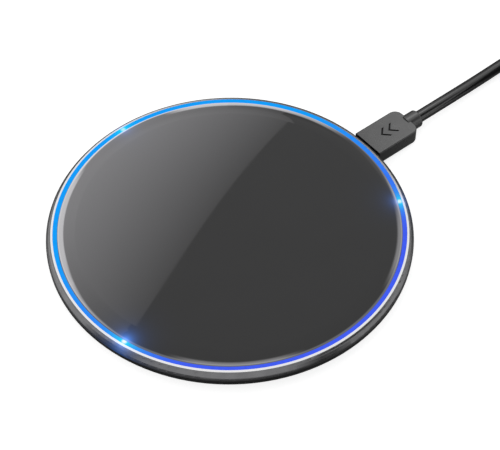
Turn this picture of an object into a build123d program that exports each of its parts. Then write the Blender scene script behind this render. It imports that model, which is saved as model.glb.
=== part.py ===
from build123d import *
import os
from math import atan2, cos, pi, radians, sin, tan

# Slim round wireless charging pad with a detachable lead.
# Millimetres. +Z up, floor at z = 0, pad axis on Z, socket and lead leave along +Y.

# ---- driving dimensions -------------------------------------------------------------
PAD_RADIUS = 50.0
GLASS_TOP = 7.0           # crown of the glass, the highest point of the pad
RIM_TOP = 6.6             # level of the light ring and of the bright edge of the frame
PARTING = 4.4             # joint between metal frame and plastic cover, at the widest radius
UNDERSIDE = 0.7           # flat underside of the cover, held up by the foot ring
FLOOR_TOP = 1.9           # inner floor of the cover

FIT = 0.05                # assembly gap between fixed pieces
TAPE = 0.1                # thin adhesive film

# glass, light ring, frame, cover
GLASS_RADIUS = 46.85
GLASS_BOTTOM = 5.9
GLASS_BEVEL_START = 42.0
GUIDE_INNER, GUIDE_OUTER = 46.95, 48.0
GUIDE_LIP_INNER, GUIDE_LIP_LOW, GUIDE_LIP_HIGH = 45.1, 3.1, 4.1
FRAME_INNER = 48.05
BRIGHT_EDGE_RADIUS, BRIGHT_EDGE_DROP = 48.62, 0.15
SHOULDER_ROUNDING = 1.2   # turns the bright edge over into the wall
WALL_STEEPNESS = 56.7     # degrees from level
SKIRT_OUTER, SKIRT_BOTTOM = 48.85, 2.9
COVER_UPRIGHT = 0.3       # upright stretch of the cover below the frame
COVER_ARC = 3.2           # radius of the cover's rounded lower wall
COVER_INNER = 47.6
COVER_FALL = 2.3          # width of the gentle fall from the flat underside to the arc
SHELL_LOW, SHELL_HIGH = 4.9, 5.7
SHELL_WINDOW = 29.0       # hole in the carrier plate over the coil
PANEL_TAPE_INNER = 30.0
FOOT_INNER, FOOT_OUTER, FOOT_GROOVE, FOOT_ROUNDING = 38.6, 42.9, 0.4, 0.35

# four screws, driven up through the foot groove into the carrier's posts
SCREW_CIRCLE = (FOOT_INNER + FOOT_OUTER) / 2
SCREW_ANGLES = (45, 135, 225, 315)
SCREW_HEAD_RADIUS, SCREW_HEAD_LOW, SCREW_HEAD_HIGH = 1.6, 1.15, 1.8
SCREW_SHANK_RADIUS, SCREW_TOP = 0.8, 4.7
RECESS_REACH, RECESS_HALF_WIDTH, RECESS_DEPTH = 0.9, 0.18, 0.35
POST_LOW = 2.6            # where the cover's bosses meet the shell's posts
POST_RADIUS, BOSS_RADIUS, NOTCH_RADIUS = 2.1, 2.5, 2.8
BOARD_REST_CIRCLE, BOARD_REST_RADIUS = 30.0, 1.5

# board, ferrite and transmitter coil
PCB_RADIUS, PCB_LOW, PCB_HIGH = 44.6, 2.1, 2.9
FERRITE_RADIUS, FERRITE_THICK = 25.0, 0.9
WIRE_DIAMETER, WIRE_PITCH, COIL_TURNS, COIL_INNER = 1.05, 1.15, 10, 10.3
FERRITE_LOW = PCB_HIGH + TAPE
FERRITE_HIGH = FERRITE_LOW + FERRITE_THICK
COIL_MID = FERRITE_HIGH + TAPE + WIRE_DIAMETER / 2 + FIT / 2
SHEET_HOLE = 2.0          # centre hole of the ferrite and of its films
SLOT_CLEARANCE = 0.85     # the slot's half width, for the coil's inner end
SLOT_START_Y = -0.4
FOAM_RADIUS = 21.0
LEAD_BEND = 1.0
LED_ANGLES = (61.5, 181.5, 286.5)
LED_BACK, LED_FRONT, LENS_FRONT = 43.3, 44.7, 44.95
LED_HALF_WIDTH, LENS_HALF_WIDTH, LED_TOP, LENS_MARGIN = 1.9, 1.5, 4.05, 0.15

# board components: length, width and height of each package
CONTROLLER_SIZE, CONTROLLER_AT = (5, 5, 0.85), (-8, 33)
PIN_MARK_RADIUS, PIN_MARK_INSET, PIN_MARK_DEPTH = 0.3, 0.6, 0.05
INDUCTOR_SIZE, INDUCTOR_AT, INDUCTOR_CORNER = (5.2, 5.2, 1.85), (19, 30), 0.6
MOSFET_SIZE, MOSFET_CIRCLE, MOSFET_ANGLES = (3.3, 3.3, 0.8), 33.5, (20, 28, 36, 118)
RESONANCE_SIZE, RESONANCE_CIRCLE, RESONANCE_ANGLES = (3.2, 2.5, 1.75), 31.5, (-44, -36, -28, -20)
FILTER_SIZE, FILTER_CIRCLE, FILTER_ANGLES = (1.6, 0.8, 0.8), 37.5, range(66, 106, 5)
RESISTOR_SIZE, RESISTOR_CIRCLE, RESISTOR_ANGLES = (1.6, 0.8, 0.45), 28.5, range(76, 136, 5)
THERMISTOR_RADIUS, THERMISTOR_TOP, THERMISTOR_ROUNDING = 1.2, 4.9, 0.5

# socket and plug, both on the line x = 0, z = PORT_Z
PORT_Z = 3.3
PORT_HALF_WIDTH, PORT_LOW, PORT_HIGH = 4.5, 1.95, 4.75
PLUG_WIDTH, PLUG_THICK, PLUG_WALL = 6.85, 1.8, 0.25
PLUG_CLEARANCE = 0.1
NOTCH_Y = 42.5            # inner end of the room kept free for the socket
BOARD_NOTCH_HALF_WIDTH, BOARD_NOTCH_Y = 4.0, 43.2
MOUTH_Y, SOCKET_BACK_Y, SOCKET_BACK_THICK = 49.1, 43.9, 0.5
SOCKET_CORNER = 0.4
LIP_HALF_WIDTH, LIP_LENGTH, LIP_THICK = 2.6, 0.3, 0.12
LEG_STARTS_Y, LEG_LENGTH = (44.6, 47.2), 0.9
TONGUE_HALF_WIDTH, TONGUE_END_Y, TONGUE_TOP = 2.6, 48.0, 0.5
CONTACT_COUNT, CONTACT_PITCH, CONTACT_WIDTH, CONTACT_THICK = 5, 0.65, 0.3, 0.08
CONTACT_END_Y, TAIL_LENGTH, TAIL_THICK = 47.6, 0.8, 0.15
PLUG_TIP_Y = 44.6
PLUG_SEAT = 3.0           # depth of the steel shell inside the grip
LATCH_X, LATCH_Y = (-2.2, 2.2), (46.2, 48.2)
BLADE_GAP = 0.12          # the plug's contacts stand on its insulator, this far below the axis
OVERMOLD_FRONT_Y, OVERMOLD_REAR_Y = 50.15, 65.7
OVERMOLD_WIDTH, OVERMOLD_THICK = 10.4, 4.5
GRIP_CORNER, GRIP_EDGE = 2.6, 0.4
COLLAR_DIAMETER, COLLAR_END_Y, COLLAR_ROUNDING = 5.3, 69.4, 0.5
CHEVRON_REACH, CHEVRON_STROKE, CHEVRON_DEPTH, CHEVRON_PITCH = 1.9, 0.75, 0.25, 2.8

# lead: one round cable, put away in a coil
CABLE_DIAMETER = 3.6
LEAD_ROUTE = [
    (0, COLLAR_END_Y, PORT_Z), (0, 79.4, PORT_Z), (-0.7, 94, 2.3), (-1.35, 106, 1.8), (-1.35, 117, 1.8),
]
HANK_CENTRE = (22.0, 120.0)
HANK_MID_RADIUS = 19.75
HANK_COLUMNS = 3          # turns side by side
HANK_ROUNDING = 1.2
TAIL_ROUTE = [
    (22.0, 143.35, 9.0), (33, 143.3, 8.4), (46, 139.5, 6.4), (55, 130.5, 4.6), (58.5, 119, 3.75),
    (58.5, 109, 3.75),
]
TIE_ANGLE, TIE_WIDTH, TIE_THICK, TIE_ROUNDING = -30, 7.0, 0.8, 2.0

# far plug
FAR_X, FAR_Z = TAIL_ROUTE[-1][0], TAIL_ROUTE[-1][2]
FAR_COLLAR_Y = TAIL_ROUTE[-1][1]
FAR_COLLAR_LENGTH, FAR_COLLAR_DIAMETER = 5.0, 5.4
FAR_BODY_WIDTH, FAR_BODY_THICK, FAR_BODY_LENGTH = 15.5, 7.5, 24.0
FAR_GRIP_CORNER, FAR_GRIP_EDGE = 4.0, 0.8
FAR_SHELL_WIDTH, FAR_SHELL_THICK, FAR_SHELL_LENGTH, FAR_SHELL_WALL = 12.0, 4.5, 12.0, 0.3
FAR_SEAT = 3.0            # depth of the steel shell inside the grip
FAR_WINDOW_X, FAR_WINDOW_SIDE, FAR_WINDOW_START = (-2.9, 2.9), 2.3, 5.2
FAR_TONGUE_RECESS, FAR_TONGUE_TOP = 0.6, -0.05
FAR_CONTACT_X, FAR_CONTACT_WIDTH, FAR_CONTACT_THICK = (-3.5, -1.0, 1.0, 3.5), 1.0, 0.15

os.makedirs("parts", exist_ok=True)


# ---- helpers ------------------------------------------------------------------------
def block(x0, x1, y0, y1, z0, z1):
    """Box from its low and high corners."""
    return Pos((x0 + x1) / 2, (y0 + y1) / 2, (z0 + z1) / 2) * Box(x1 - x0, y1 - y0, z1 - z0)


def disc(radius, z0, z1, inner=0.0):
    """Round plate, or a flat ring when it has an inner radius."""
    sketch = Circle(radius)
    if inner:
        sketch -= Circle(inner)
    return Pos(0, 0, z0) * extrude(sketch, z1 - z0)


def turned(*lines):
    """Solid of revolution about Z from the lines of a closed (radius, z) outline."""
    edges = [edge for line in lines for edge in (Plane.XZ * line).edges()]
    return revolve(make_face(edges), Axis.Z)


def polar(radius, angle, z=0.0):
    """Location at a radius and angle about Z, turned to face outwards."""
    return Rot(0, 0, angle) * Pos(radius, 0, z)


def group(solids):
    """Separate solids of one node."""
    return Compound(children=list(solids))


def unite(first, others):
    """First solid fused with every other."""
    for other in others:
        first += other
    return first


def cut(first, others):
    """First solid with every other taken away."""
    for other in others:
        first -= other
    return first


def tube(route, diameter, name):
    """Round tube on straight runs joined by tangent arcs, checked against section x length."""
    corners = []
    for before, here, after in zip(route, route[1:], route[2:]):
        run_in, run_out = Vector(here) - Vector(before), Vector(after) - Vector(here)
        turn = radians(run_in.get_angle(run_out))
        corners.append(0.45 * min(run_in.length, run_out.length) / tan(turn / 2))
    path = FilletPolyline(*route, radius=corners)
    heading = Vector(route[1]) - Vector(route[0])
    solid = sweep(Plane(route[0], z_dir=heading) * Circle(diameter / 2), path=path)
    ideal = pi * diameter ** 2 / 4 * path.length
    print(f"{name}: length {path.length:.1f}, radii {[round(r, 1) for r in corners]}, "
          f"volume / ideal {solid.volume / ideal:.4f}")
    return solid


nodes = {}


# ---- pad: glass, light ring, frame, shells ------------------------------------------
PORT_WINDOW = block(-PORT_HALF_WIDTH, PORT_HALF_WIDTH, NOTCH_Y, PAD_RADIUS + 1, PORT_LOW, PORT_HIGH)


def glass_panel():
    """Black glass, its rim ground down in a long soft curve."""
    edge_chamfer = 0.15
    side_low, side_high = GLASS_BOTTOM + edge_chamfer, RIM_TOP - edge_chamfer
    return turned(
        Polyline((0, GLASS_BOTTOM), (GLASS_RADIUS - edge_chamfer, GLASS_BOTTOM),
                 (GLASS_RADIUS, side_low), (GLASS_RADIUS, side_high),
                 (GLASS_RADIUS - edge_chamfer, RIM_TOP)),
        TangentArc((GLASS_BEVEL_START, GLASS_TOP), (GLASS_RADIUS - edge_chamfer, RIM_TOP), tangent=(1, 0)),
        Polyline((GLASS_BEVEL_START, GLASS_TOP), (0, GLASS_TOP), (0, GLASS_BOTTOM)),
    )


def light_guide_ring():
    """Clear ring with an inner lip that takes the light in from the side-firing LEDs."""
    crown = 0.06
    ring = turned(
        Polyline((GUIDE_INNER, RIM_TOP - crown), (GUIDE_INNER, GUIDE_LIP_HIGH),
                 (GUIDE_LIP_INNER, GUIDE_LIP_HIGH), (GUIDE_LIP_INNER, GUIDE_LIP_LOW),
                 (GUIDE_INNER, GUIDE_LIP_LOW), (GUIDE_INNER, SKIRT_BOTTOM), (GUIDE_OUTER, SKIRT_BOTTOM),
                 (GUIDE_OUTER, RIM_TOP - crown)),
        ThreePointArc((GUIDE_OUTER, RIM_TOP - crown), ((GUIDE_INNER + GUIDE_OUTER) / 2, RIM_TOP),
                      (GUIDE_INNER, RIM_TOP - crown)),
    )
    return ring - PORT_WINDOW


def outer_frame():
    """Anodised ring: bright-cut top edge, steep wall, skirt that drops inside the cover."""
    edge_slope = atan2(BRIGHT_EDGE_DROP, BRIGHT_EDGE_RADIUS - FRAME_INNER)
    wall_slope = radians(WALL_STEEPNESS)
    edge_end = (BRIGHT_EDGE_RADIUS, RIM_TOP - BRIGHT_EDGE_DROP)
    wall_top = (edge_end[0] + SHOULDER_ROUNDING * (sin(wall_slope) - sin(edge_slope)),
                edge_end[1] - SHOULDER_ROUNDING * (cos(edge_slope) - cos(wall_slope)))
    # the straight wall would reach the full radius here; an arc then turns it upright
    knee = wall_top[1] - (PAD_RADIUS - wall_top[0]) * tan(wall_slope)
    reach = knee - PARTING
    arc_start = (PAD_RADIUS - reach * cos(wall_slope), knee + reach * sin(wall_slope))
    ring = turned(
        Line((FRAME_INNER, RIM_TOP), edge_end),
        TangentArc(edge_end, wall_top, tangent=(cos(edge_slope), -sin(edge_slope))),
        Line(wall_top, arc_start),
        TangentArc((PAD_RADIUS, PARTING), arc_start, tangent=(0, 1)),
        Polyline((PAD_RADIUS, PARTING), (SKIRT_OUTER, PARTING), (SKIRT_OUTER, SKIRT_BOTTOM),
                 (FRAME_INNER, SKIRT_BOTTOM), (FRAME_INNER, RIM_TOP)),
    )
    return ring - PORT_WINDOW


def top_shell():
    """Carrier under the glass: plate with a coil window, pressing rim and screw posts."""
    rim = disc(GLASS_RADIUS, GUIDE_LIP_HIGH + FIT, SHELL_LOW, inner=GUIDE_LIP_INNER + FIT)
    plate = disc(GLASS_RADIUS, SHELL_LOW, SHELL_HIGH, inner=SHELL_WINDOW)
    pilot = disc(SCREW_SHANK_RADIUS + FIT, POST_LOW, SHELL_LOW + TAPE)
    posts = [polar(SCREW_CIRCLE, a) * disc(POST_RADIUS, POST_LOW, SHELL_LOW) for a in SCREW_ANGLES]
    pilots = [polar(SCREW_CIRCLE, a) * pilot for a in SCREW_ANGLES]
    return cut(unite(plate, [rim] + posts), [PORT_WINDOW] + pilots)


def bottom_cover():
    """Shallow dish with a rounded wall, a shoulder for the skirt, bosses and a foot groove."""
    arc_centre = (PAD_RADIUS - COVER_ARC, PARTING - COVER_UPRIGHT)
    arc_mid = (arc_centre[0] + COVER_ARC * cos(pi / 4), arc_centre[1] - COVER_ARC * sin(pi / 4))
    arc_low = (arc_centre[0], arc_centre[1] - COVER_ARC)
    shoulder = SKIRT_BOTTOM - FIT
    dish = turned(
        Polyline((0, UNDERSIDE), (arc_low[0] - COVER_FALL, UNDERSIDE), arc_low),
        ThreePointArc(arc_low, arc_mid, (PAD_RADIUS, arc_centre[1])),
        Polyline((PAD_RADIUS, arc_centre[1]), (PAD_RADIUS, PARTING - FIT), (SKIRT_OUTER + FIT, PARTING - FIT),
                 (SKIRT_OUTER + FIT, shoulder), (COVER_INNER, shoulder), (COVER_INNER, FLOOR_TOP),
                 (0, FLOOR_TOP), (0, UNDERSIDE)),
    )
    boss = disc(BOSS_RADIUS, FLOOR_TOP, POST_LOW - FIT)
    rest = disc(BOARD_REST_RADIUS, FLOOR_TOP, PCB_LOW)
    head_seat = disc(SCREW_HEAD_RADIUS + 2 * FIT, UNDERSIDE, SCREW_HEAD_HIGH + FIT)
    shank_hole = disc(SCREW_SHANK_RADIUS + 2 * FIT, UNDERSIDE, POST_LOW)
    bosses = [polar(SCREW_CIRCLE, a) * boss for a in SCREW_ANGLES]
    rests = [polar(BOARD_REST_CIRCLE, a) * rest for a in range(15, 360, 60)]
    groove = disc(FOOT_OUTER + FIT, UNDERSIDE, UNDERSIDE + FOOT_GROOVE, inner=FOOT_INNER - FIT)
    head_seats = [polar(SCREW_CIRCLE, a) * head_seat for a in SCREW_ANGLES]
    shank_holes = [polar(SCREW_CIRCLE, a) * shank_hole for a in SCREW_ANGLES]
    return cut(unite(dish, bosses + rests), [groove, PORT_WINDOW] + head_seats + shank_holes)


def foot_ring():
    """Silicone ring with a rounded tread, seated in the cover's groove."""
    top, tread = UNDERSIDE + FOOT_GROOVE, FOOT_ROUNDING
    return turned(
        Polyline((FOOT_INNER, tread), (FOOT_INNER, top), (FOOT_OUTER, top), (FOOT_OUTER, tread)),
        TangentArc((FOOT_OUTER, tread), (FOOT_OUTER - tread, 0), tangent=(0, -1)),
        Line((FOOT_OUTER - tread, 0), (FOOT_INNER + tread, 0)),
        TangentArc((FOOT_INNER + tread, 0), (FOOT_INNER, tread), tangent=(-1, 0)),
    )


def cover_screw():
    """Pan-head screw with a cross recess, driven from below."""
    slot = block(-RECESS_REACH, RECESS_REACH, -RECESS_HALF_WIDTH, RECESS_HALF_WIDTH,
                 SCREW_HEAD_LOW, SCREW_HEAD_LOW + RECESS_DEPTH)
    head = disc(SCREW_HEAD_RADIUS, SCREW_HEAD_LOW, SCREW_HEAD_HIGH)
    shank = disc(SCREW_SHANK_RADIUS, SCREW_HEAD_HIGH, SCREW_TOP)
    return cut(head + shank, [slot, Rot(0, 0, 90) * slot])


nodes["glass_panel"] = glass_panel()
nodes["panel_adhesive"] = disc(GUIDE_LIP_INNER, SHELL_HIGH, GLASS_BOTTOM, inner=PANEL_TAPE_INNER)
nodes["light_guide_ring"] = light_guide_ring()
nodes["outer_frame"] = outer_frame()
nodes["top_shell"] = top_shell()
nodes["bottom_cover"] = bottom_cover()
nodes["foot_ring"] = foot_ring()
nodes["cover_screws"] = group(polar(SCREW_CIRCLE, a) * cover_screw() for a in SCREW_ANGLES)


# ---- pad: board and transmitter -----------------------------------------------------
LEAD_SLOT = (COIL_INNER - SLOT_CLEARANCE, COIL_INNER + SLOT_CLEARANCE, -FERRITE_RADIUS - 1, SLOT_START_Y)


def main_pcb():
    """Round board, notched for the screw posts and for the sunk socket."""
    board = disc(PCB_RADIUS, PCB_LOW, PCB_HIGH)
    notches = [polar(SCREW_CIRCLE, a) * disc(NOTCH_RADIUS, PCB_LOW, PCB_HIGH) for a in SCREW_ANGLES]
    socket_notch = block(-BOARD_NOTCH_HALF_WIDTH, BOARD_NOTCH_HALF_WIDTH, BOARD_NOTCH_Y, PCB_RADIUS + 1,
                         PCB_LOW, PCB_HIGH)
    return cut(board, notches + [socket_notch])


def slotted_sheet(radius, z0, z1):
    """Round sheet with a centre hole and a slot that the coil's inner end runs out through."""
    slot = block(*LEAD_SLOT, z0, z1)
    return disc(radius, z0, z1, inner=SHEET_HOLE) - slot


def tx_coil():
    """Flat spiral of half-turns about two centres half a pitch apart."""
    arcs, end_x = [], COIL_INNER
    for half in range(2 * COIL_TURNS):
        radius = COIL_INNER + half * WIRE_PITCH / 2
        centre_x = (half % 2) * WIRE_PITCH / 2
        start = 180 * (half % 2)
        arcs.append(CenterArc((centre_x, 0, COIL_MID), radius, start, 180))
        end_x = centre_x + radius
    section = Plane((COIL_INNER, 0, COIL_MID), z_dir=(0, 1, 0)) * Circle(WIRE_DIAMETER / 2)
    return sweep(section, path=Wire(arcs)), end_x


def coil_lead(points):
    """Short end of the coil wire, bent down to its solder pad."""
    heading = Vector(points[1]) - Vector(points[0])
    section = Plane(points[0], z_dir=heading) * Circle(WIRE_DIAMETER / 2)
    return sweep(section, path=FilletPolyline(*points, radius=LEAD_BEND))


nodes["main_pcb"] = main_pcb()
nodes["ferrite_adhesive"] = slotted_sheet(FERRITE_RADIUS, PCB_HIGH, FERRITE_LOW)
nodes["ferrite_sheet"] = slotted_sheet(FERRITE_RADIUS, FERRITE_LOW, FERRITE_HIGH)
nodes["coil_adhesive"] = slotted_sheet(FERRITE_RADIUS - 2, FERRITE_HIGH, FERRITE_HIGH + TAPE)
nodes["tx_coil"], COIL_END_X = tx_coil()
LEAD_LOW = PCB_HIGH + WIRE_DIAMETER / 2 + FIT
nodes["coil_leads"] = group([
    coil_lead([(COIL_INNER, 0, COIL_MID), (COIL_INNER, -1.4, COIL_MID), (COIL_INNER, -3.2, LEAD_LOW),
               (COIL_INNER, -28, LEAD_LOW)]),
    coil_lead([(COIL_END_X, 0, COIL_MID), (COIL_END_X, 3.0, COIL_MID), (COIL_END_X + 3.4, 8.0, COIL_MID),
               (COIL_END_X + 5.0, 10.4, LEAD_LOW), (COIL_END_X + 6.2, 13.4, LEAD_LOW)]),
])
nodes["coil_foam"] = disc(FOAM_RADIUS, COIL_MID + WIRE_DIAMETER / 2 + FIT, GLASS_BOTTOM - FIT)


def package(size):
    """Square-edged package that stands on the board at the origin."""
    return Pos(0, 0, PCB_HIGH) * Box(*size, align=(Align.CENTER, Align.CENTER, Align.MIN))


def ring_of_packages(size, radius, angles):
    """Packages of one size along a circle, each turned to follow it."""
    return group(polar(radius, a) * package(size) for a in angles)


def controller_chip():
    """Square controller with a round mark sunk beside its first pin."""
    length, width, height = CONTROLLER_SIZE
    mark = Pos(PIN_MARK_INSET - length / 2, width / 2 - PIN_MARK_INSET, 0) * disc(
        PIN_MARK_RADIUS, PCB_HIGH + height - PIN_MARK_DEPTH, PCB_HIGH + height)
    return Pos(*CONTROLLER_AT) * (package(CONTROLLER_SIZE) - mark)


def ring_led():
    """Side-firing LED, its window facing outwards into the light ring's lip."""
    body = block(LED_BACK, LED_FRONT, -LED_HALF_WIDTH, LED_HALF_WIDTH, PCB_HIGH, LED_TOP)
    lens = block(LED_FRONT, LENS_FRONT, -LENS_HALF_WIDTH, LENS_HALF_WIDTH, PCB_HIGH + LENS_MARGIN,
                 LED_TOP - LENS_MARGIN)
    return body + lens


inductor_block = package(INDUCTOR_SIZE)
nodes["controller_chip"] = controller_chip()
nodes["bridge_mosfets"] = ring_of_packages(MOSFET_SIZE, MOSFET_CIRCLE, MOSFET_ANGLES)
nodes["resonance_capacitors"] = ring_of_packages(RESONANCE_SIZE, RESONANCE_CIRCLE, RESONANCE_ANGLES)
inductor = fillet(inductor_block.edges().filter_by(Axis.Z), INDUCTOR_CORNER)
nodes["power_inductor"] = Pos(*INDUCTOR_AT) * inductor
nodes["filter_capacitors"] = ring_of_packages(FILTER_SIZE, FILTER_CIRCLE, FILTER_ANGLES)
nodes["chip_resistors"] = ring_of_packages(RESISTOR_SIZE, RESISTOR_CIRCLE, RESISTOR_ANGLES)
nodes["ring_leds"] = group(Rot(0, 0, a) * ring_led() for a in LED_ANGLES)
thermistor_drop = disc(THERMISTOR_RADIUS, PCB_HIGH, THERMISTOR_TOP)
nodes["thermistor"] = fillet(thermistor_drop.edges().group_by(Axis.Z)[-1], THERMISTOR_ROUNDING)


# ---- socket -------------------------------------------------------------------------
SOCKET_HALF_X = PLUG_WIDTH / 2 + PLUG_CLEARANCE
SOCKET_HALF_Z = PLUG_THICK / 2 + PLUG_CLEARANCE
SOCKET_REAR_Y = SOCKET_BACK_Y - SOCKET_BACK_THICK
CONTACT_X = [CONTACT_PITCH * (i - (CONTACT_COUNT - 1) / 2) for i in range(CONTACT_COUNT)]


def receptacle_shell():
    """Folded steel sleeve with flared lips at its mouth and four board legs."""
    wall, sunk = PLUG_WALL, 0.02
    half_x, half_z = SOCKET_HALF_X + wall, SOCKET_HALF_Z + wall
    outer = block(-half_x, half_x, SOCKET_REAR_Y, MOUTH_Y, PORT_Z - half_z, PORT_Z + half_z)
    outer = fillet(outer.edges().filter_by(Axis.Y), SOCKET_CORNER)
    inner = block(-SOCKET_HALF_X, SOCKET_HALF_X, SOCKET_REAR_Y, MOUTH_Y,
                  PORT_Z - SOCKET_HALF_Z, PORT_Z + SOCKET_HALF_Z)
    lips = [block(-LIP_HALF_WIDTH, LIP_HALF_WIDTH, MOUTH_Y - LIP_LENGTH, MOUTH_Y, z, z + LIP_THICK)
            for z in (PORT_Z - half_z - LIP_THICK + sunk, PORT_Z + half_z - sunk)]
    leg_in, leg_out = half_x - sunk, half_x + LIP_THICK
    legs = [block(x0, x1, y, y + LEG_LENGTH, PORT_LOW + FIT, PORT_Z)
            for x0, x1 in ((-leg_out, -leg_in), (leg_in, leg_out)) for y in LEG_STARTS_Y]
    return unite(outer, lips + legs) - inner


def receptacle_tongue():
    """Insulator: back wall of the socket and the tongue that carries the contacts."""
    back = block(-SOCKET_HALF_X, SOCKET_HALF_X, SOCKET_REAR_Y, SOCKET_BACK_Y,
                 PORT_Z - SOCKET_HALF_Z, PORT_Z + SOCKET_HALF_Z)
    tongue = block(-TONGUE_HALF_WIDTH, TONGUE_HALF_WIDTH, SOCKET_BACK_Y, TONGUE_END_Y,
                   PORT_Z + CONTACT_THICK, PORT_Z + TONGUE_TOP)
    return back + tongue


def socket_contact(x):
    """One spring contact under the tongue, with its tail behind the socket."""
    half = CONTACT_WIDTH / 2
    blade = block(x - half, x + half, SOCKET_BACK_Y, CONTACT_END_Y, PORT_Z, PORT_Z + CONTACT_THICK)
    tail = block(x - half, x + half, SOCKET_REAR_Y - TAIL_LENGTH, SOCKET_REAR_Y,
                 PCB_HIGH, PCB_HIGH + TAIL_THICK)
    return [blade, tail]


nodes["receptacle_shell"] = receptacle_shell()
nodes["receptacle_tongue"] = receptacle_tongue()
nodes["receptacle_contacts"] = group(piece for x in CONTACT_X for piece in socket_contact(x))


# ---- plug ---------------------------------------------------------------------------
PLUG_REAR_Y = OVERMOLD_FRONT_Y + PLUG_SEAT


def moulded_grip(width, thick, front_y, rear_y, collar_y, collar_diameter, corner, edge):
    """Overmoulded grip about the Y axis: flat faces, rounded rear corners, round collar at high y."""
    body = block(-width / 2, width / 2, front_y, rear_y, -thick / 2, thick / 2)
    body = fillet(body.edges().filter_by(Axis.Z).group_by(Axis.Y)[-1], corner)
    top_and_bottom = body.faces().filter_by(Axis.Z).edges()
    body = fillet([e for e in top_and_bottom if e.center().Y > front_y + edge], edge)
    root = 1.0            # the collar starts this far inside the body
    length = collar_y - rear_y + root
    collar = Pos(0, collar_y - length / 2, 0) * Rot(90, 0, 0) * Cylinder(collar_diameter / 2, length)
    collar = fillet(collar.edges().group_by(Axis.Y)[-1], COLLAR_ROUNDING)
    return body + collar


def chevron(y):
    """Cutter for a plain V mark in the grip's top face, its point towards low y."""
    reach, stroke, proud = CHEVRON_REACH, CHEVRON_STROKE, 0.1
    top = PORT_Z + OVERMOLD_THICK / 2
    outline = Polyline((-reach, y + reach), (0, y), (reach, y + reach), (reach, y + reach + stroke),
                       (0, y + stroke), (-reach, y + reach + stroke), (-reach, y + reach))
    return Pos(0, 0, top - CHEVRON_DEPTH) * extrude(make_face(outline), CHEVRON_DEPTH + proud)


def plug_overmold():
    """Slim grip of the pad-side plug, with two engraved chevrons that point into the socket."""
    grip = Pos(0, 0, PORT_Z) * moulded_grip(
        OVERMOLD_WIDTH, OVERMOLD_THICK, OVERMOLD_FRONT_Y, OVERMOLD_REAR_Y, COLLAR_END_Y,
        COLLAR_DIAMETER, GRIP_CORNER, GRIP_EDGE)
    marks_height = CHEVRON_PITCH + CHEVRON_REACH + CHEVRON_STROKE
    first_mark = (OVERMOLD_FRONT_Y + OVERMOLD_REAR_Y - marks_height) / 2
    marks = [chevron(first_mark + step * CHEVRON_PITCH) for step in range(2)]
    shell_seat = block(-PLUG_WIDTH / 2, PLUG_WIDTH / 2, OVERMOLD_FRONT_Y, PLUG_REAR_Y,
                       PORT_Z - PLUG_THICK / 2, PORT_Z + PLUG_THICK / 2)
    return cut(grip, marks + [shell_seat])


def plug_shell():
    """Steel tube of the plug, with two latch windows in its underside."""
    half_x, half_z, wall, window_half = PLUG_WIDTH / 2, PLUG_THICK / 2, PLUG_WALL, 0.45
    outer = block(-half_x, half_x, PLUG_TIP_Y, PLUG_REAR_Y, PORT_Z - half_z, PORT_Z + half_z)
    inner = block(-half_x + wall, half_x - wall, PLUG_TIP_Y, PLUG_REAR_Y, PORT_Z - half_z + wall,
                  PORT_Z + half_z - wall)
    windows = [block(x - window_half, x + window_half, *LATCH_Y, PORT_Z - half_z, PORT_Z) for x in LATCH_X]
    return cut(outer, [inner] + windows)


def plug_insert():
    """Insulator inside the plug shell, leaving the upper half open for the socket's tongue."""
    half_x, slot_half, recess, slot_margin = PLUG_WIDTH / 2 - PLUG_WALL, 0.45, 0.2, 0.4
    low = PORT_Z - PLUG_THICK / 2 + PLUG_WALL
    blade = block(-half_x, half_x, PLUG_TIP_Y + recess, OVERMOLD_FRONT_Y, low, PORT_Z - BLADE_GAP)
    heel = block(-half_x, half_x, OVERMOLD_FRONT_Y, PLUG_REAR_Y, low,
                 PORT_Z + PLUG_THICK / 2 - PLUG_WALL)
    slots = [block(x - slot_half, x + slot_half, LATCH_Y[0] - slot_margin, LATCH_Y[1] + slot_margin,
                   low, PORT_Z) for x in LATCH_X]
    return cut(blade + heel, slots)


def plug_contact(x):
    """One flat contact on the insulator's blade."""
    half, recess, thick = CONTACT_WIDTH / 2, 0.6, 0.06
    return block(x - half, x + half, PLUG_TIP_Y + recess, OVERMOLD_FRONT_Y - 2 * FIT,
                 PORT_Z - BLADE_GAP, PORT_Z - BLADE_GAP + thick)


def plug_latch(x):
    """One spring latch, its nose showing through the shell's window."""
    half, margin, low, high = 0.35, 0.1, PORT_Z - 0.93, PORT_Z - 0.5
    return block(x - half, x + half, LATCH_Y[0] + margin, LATCH_Y[1] - margin, low, high)


nodes["plug_overmold"] = plug_overmold()
nodes["plug_shell"] = plug_shell()
nodes["plug_insert"] = plug_insert()
nodes["plug_contacts"] = group(plug_contact(x) for x in CONTACT_X)
nodes["plug_latches"] = group(plug_latch(x) for x in LATCH_X)


# ---- lead ---------------------------------------------------------------------------
def hank():
    """Outer shape of the wound turns: two full layers and a part layer on the outer columns."""
    half = HANK_COLUMNS * CABLE_DIAMETER / 2
    inner, outer = HANK_MID_RADIUS - half, HANK_MID_RADIUS + half
    low_layers = disc(outer, 0, 2 * CABLE_DIAMETER, inner=inner)
    top_layer = disc(outer, 2 * CABLE_DIAMETER, 3 * CABLE_DIAMETER, inner=inner + CABLE_DIAMETER)
    wound = low_layers + top_layer
    for level in (0, -1):
        circles = wound.edges().filter_by(GeomType.CIRCLE).group_by(Axis.Z)[level]
        wound = fillet(circles, HANK_ROUNDING)
    return Pos(*HANK_CENTRE, 0) * wound


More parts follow.
